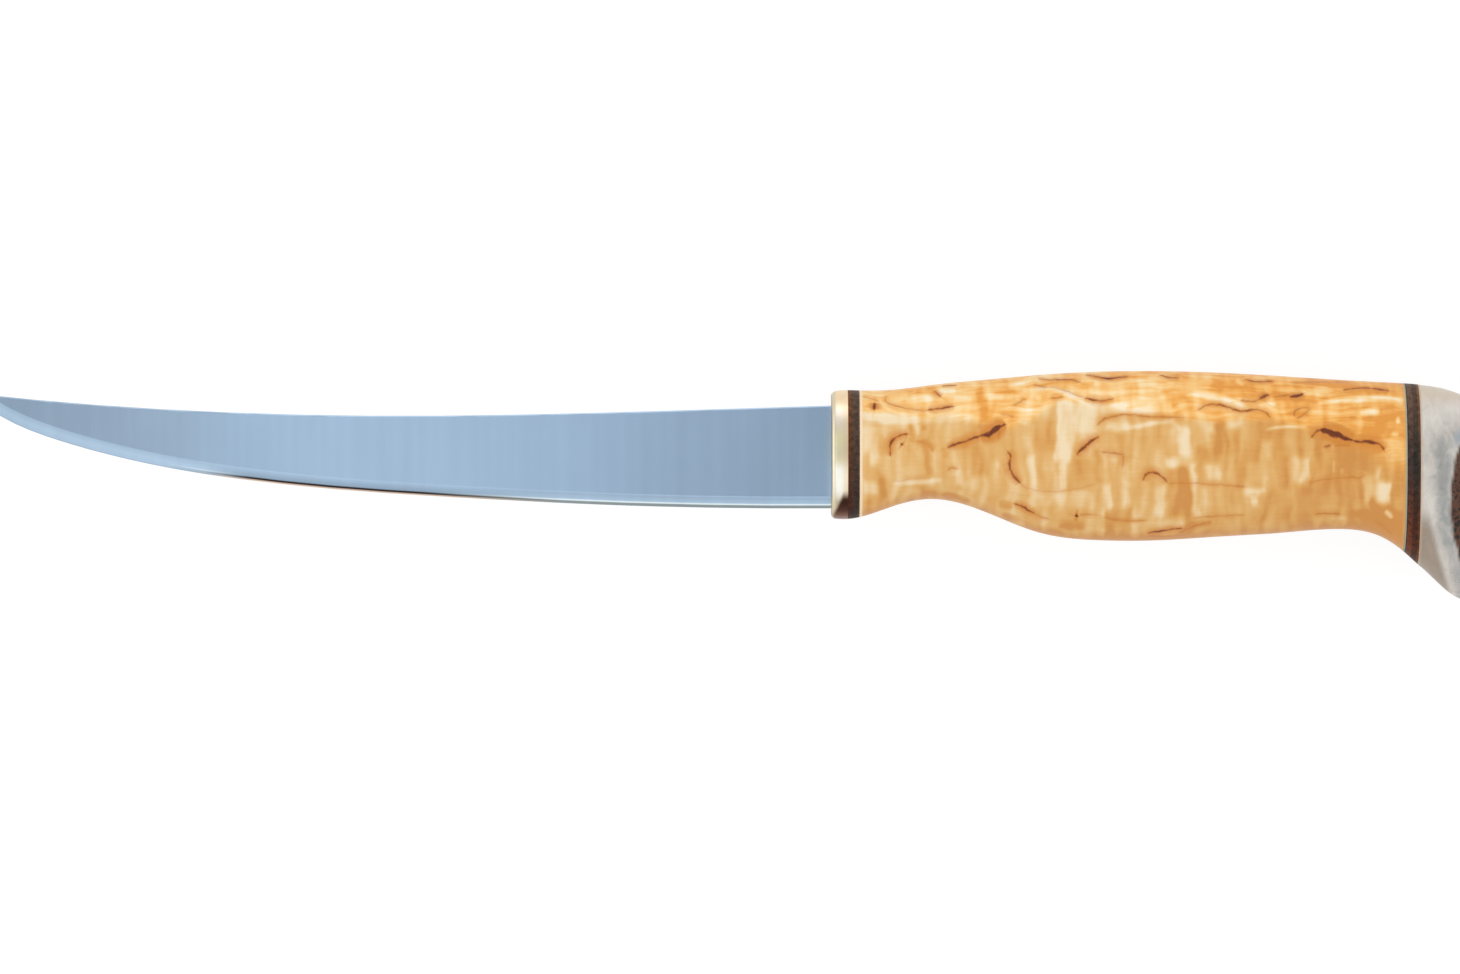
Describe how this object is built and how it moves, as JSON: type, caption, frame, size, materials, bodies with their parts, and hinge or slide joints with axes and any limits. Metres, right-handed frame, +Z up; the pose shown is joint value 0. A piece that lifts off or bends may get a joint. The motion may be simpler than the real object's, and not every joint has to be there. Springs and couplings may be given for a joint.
{
  "type": "fillet knife",
  "caption": "Fixed-blade fillet knife: slender upswept blade on a hidden stick tang, brass bolster, curly birch grip between leather washers, and a beaked antler pommel.",
  "frame": {"origin": "middle of the box that the knife fills, on the surface that it lies on", "axes": "+X along the knife from the blade's point to the butt, +Y towards the spine, +Z up, through the thickness, with the knife lying on its side"},
  "size_m": [0.288, 0.0434, 0.023],
  "materials": {
    "blade_steel": "satin",
    "bolster_brass": "polished",
    "leather_brown": "satin",
    "leather_dark": "satin",
    "leather_red": "satin",
    "fibre_plum": "matte",
    "fibre_black": "matte",
    "fibre_brown": "matte",
    "curly_birch": "satin",
    "antler": "satin",
    "epoxy": "gloss"
  },
  "bodies": {
    "root": {"blade": "blade_steel", "bolster": "bolster_brass", "front_washer_brown": "leather_brown", "front_washer_dark": "leather_dark", "front_liner": "fibre_plum", "grip": "curly_birch", "rear_liner_black": "fibre_black", "rear_washer_red": "leather_red", "rear_washer_dark": "leather_dark", "rear_liner_brown": "fibre_brown", "antler_pommel": "antler", "tang_adhesive": "epoxy"}
  },
  "joints": []
}
